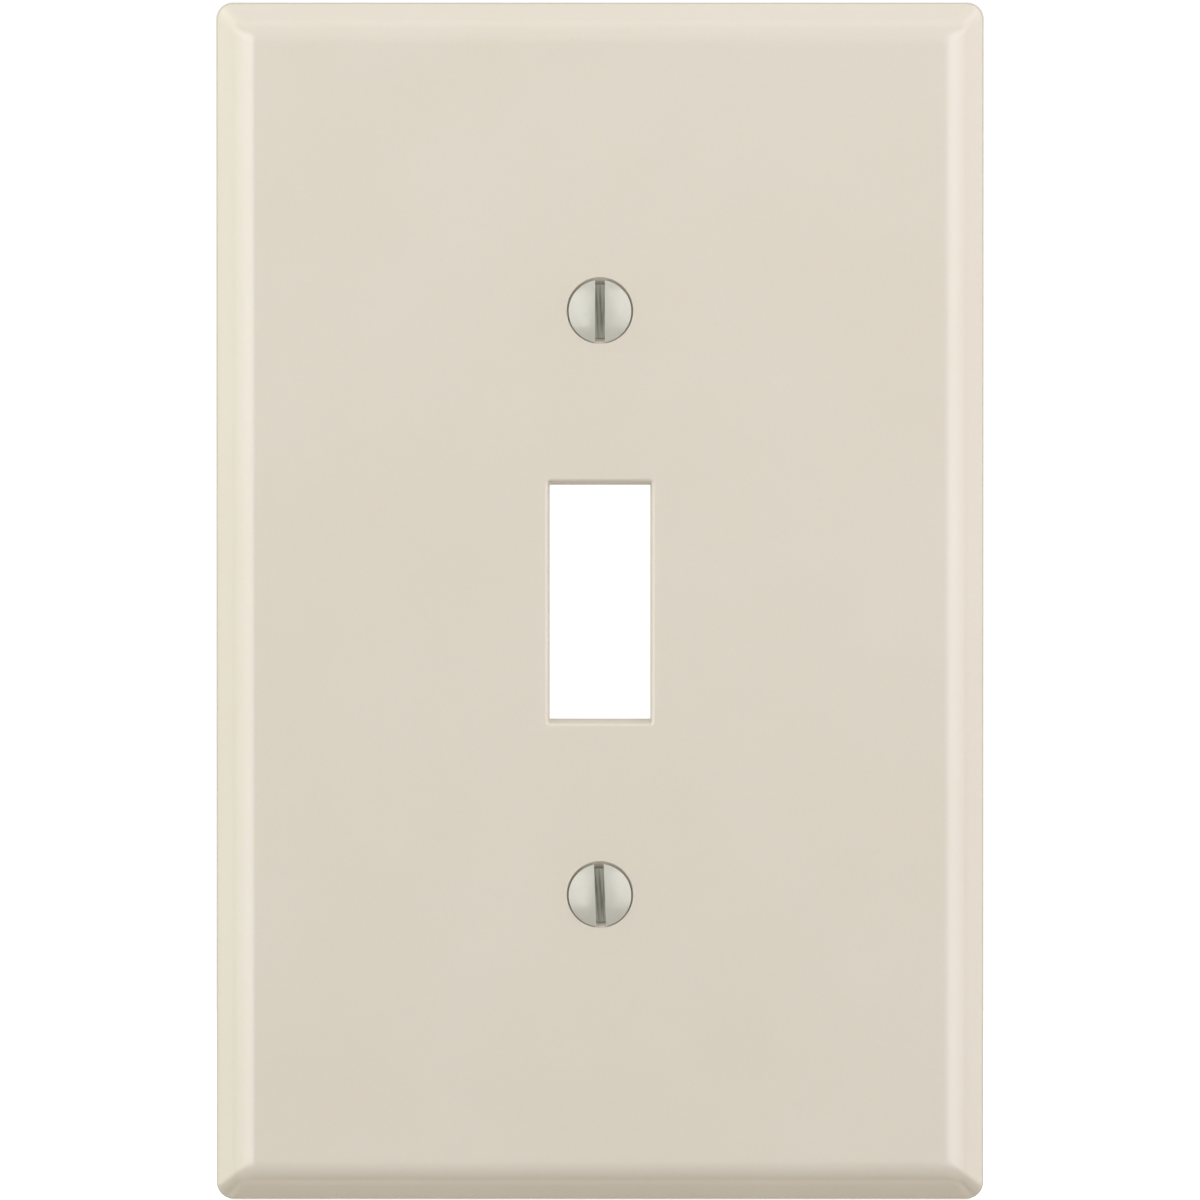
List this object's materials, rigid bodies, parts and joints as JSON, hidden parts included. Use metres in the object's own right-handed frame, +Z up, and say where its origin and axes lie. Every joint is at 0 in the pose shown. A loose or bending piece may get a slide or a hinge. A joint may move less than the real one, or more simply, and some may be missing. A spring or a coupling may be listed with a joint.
{
  "type": "toggle switch wall plate",
  "caption": "Single-gang midway wall plate for a toggle switch: sloped border, rectangular toggle opening, ribbed hollow back and slotted oval-head screws.",
  "frame": {"origin": "centre of the toggle opening, on the wall plane that the back rim lies on", "axes": "+Z up along the plate's height, +X to the right as the plate is looked at, +Y into the wall; the face looks along -Y"},
  "size_m": [0.0794, 0.0134, 0.1238],
  "materials": {
    "plate_plastic": "moulded light almond thermoset, glossy",
    "screw_paint": "thin off-white paint over plated steel, satin"
  },
  "bodies": {
    "plate": {"wall_plate": "plate_plastic"},
    "upper_screw": {"upper_screw": "screw_paint"},
    "lower_screw": {"lower_screw": "screw_paint"}
  },
  "joints": [
    {"name": "upper_screw_travel", "type": "slide", "parent": "plate", "child": "upper_screw", "axis": [0, -1, 0], "range_m": [0, 0.01588]},
    {"name": "lower_screw_travel", "type": "slide", "parent": "plate", "child": "lower_screw", "axis": [0, -1, 0], "range_m": [0, 0.01588]}
  ]
}
